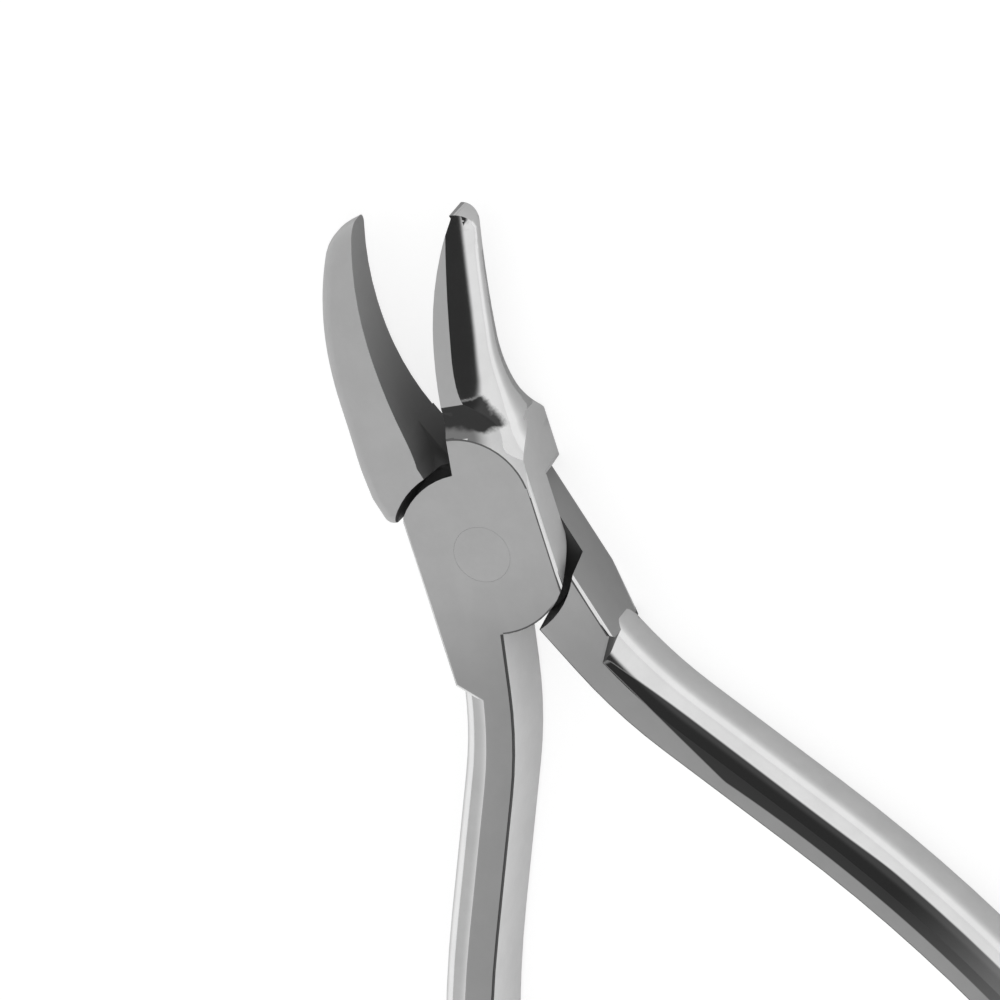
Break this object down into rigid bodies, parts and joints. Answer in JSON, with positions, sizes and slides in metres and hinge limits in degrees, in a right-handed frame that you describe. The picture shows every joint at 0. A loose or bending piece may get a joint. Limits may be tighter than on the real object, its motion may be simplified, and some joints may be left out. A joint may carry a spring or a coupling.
{
  "type": "orthodontic pliers",
  "caption": "Slim steel lap-joint pliers with two curved beaks, one bulging and one hollow, that mesh to bend fine arch wire, and long plain bowed handles",
  "frame": {"origin": "on the pivot axis, in the plane of the rear faces that the pliers rest on", "axes": "+Z out of the front joint face, +Y along the middle line from the pivot to the beak tips, +X to the right seen from the front"},
  "size_m": [0.079, 0.1296, 0.0077],
  "materials": {
    "ground_steel": "satin ground flats, mirror-polished roundings",
    "rivet_steel": "satin, ground flush"
  },
  "bodies": {
    "rear_half": {"concave_jaw_half": "ground_steel", "pivot_rivet": "rivet_steel"},
    "front_half": {"convex_jaw_half": "ground_steel"}
  },
  "joints": [
    {"name": "pivot", "type": "hinge", "parent": "rear_half", "child": "front_half", "pos_m": [0, 0, 0], "axis": [0, 0, 1], "range_deg": [-32, 16.9]}
  ]
}
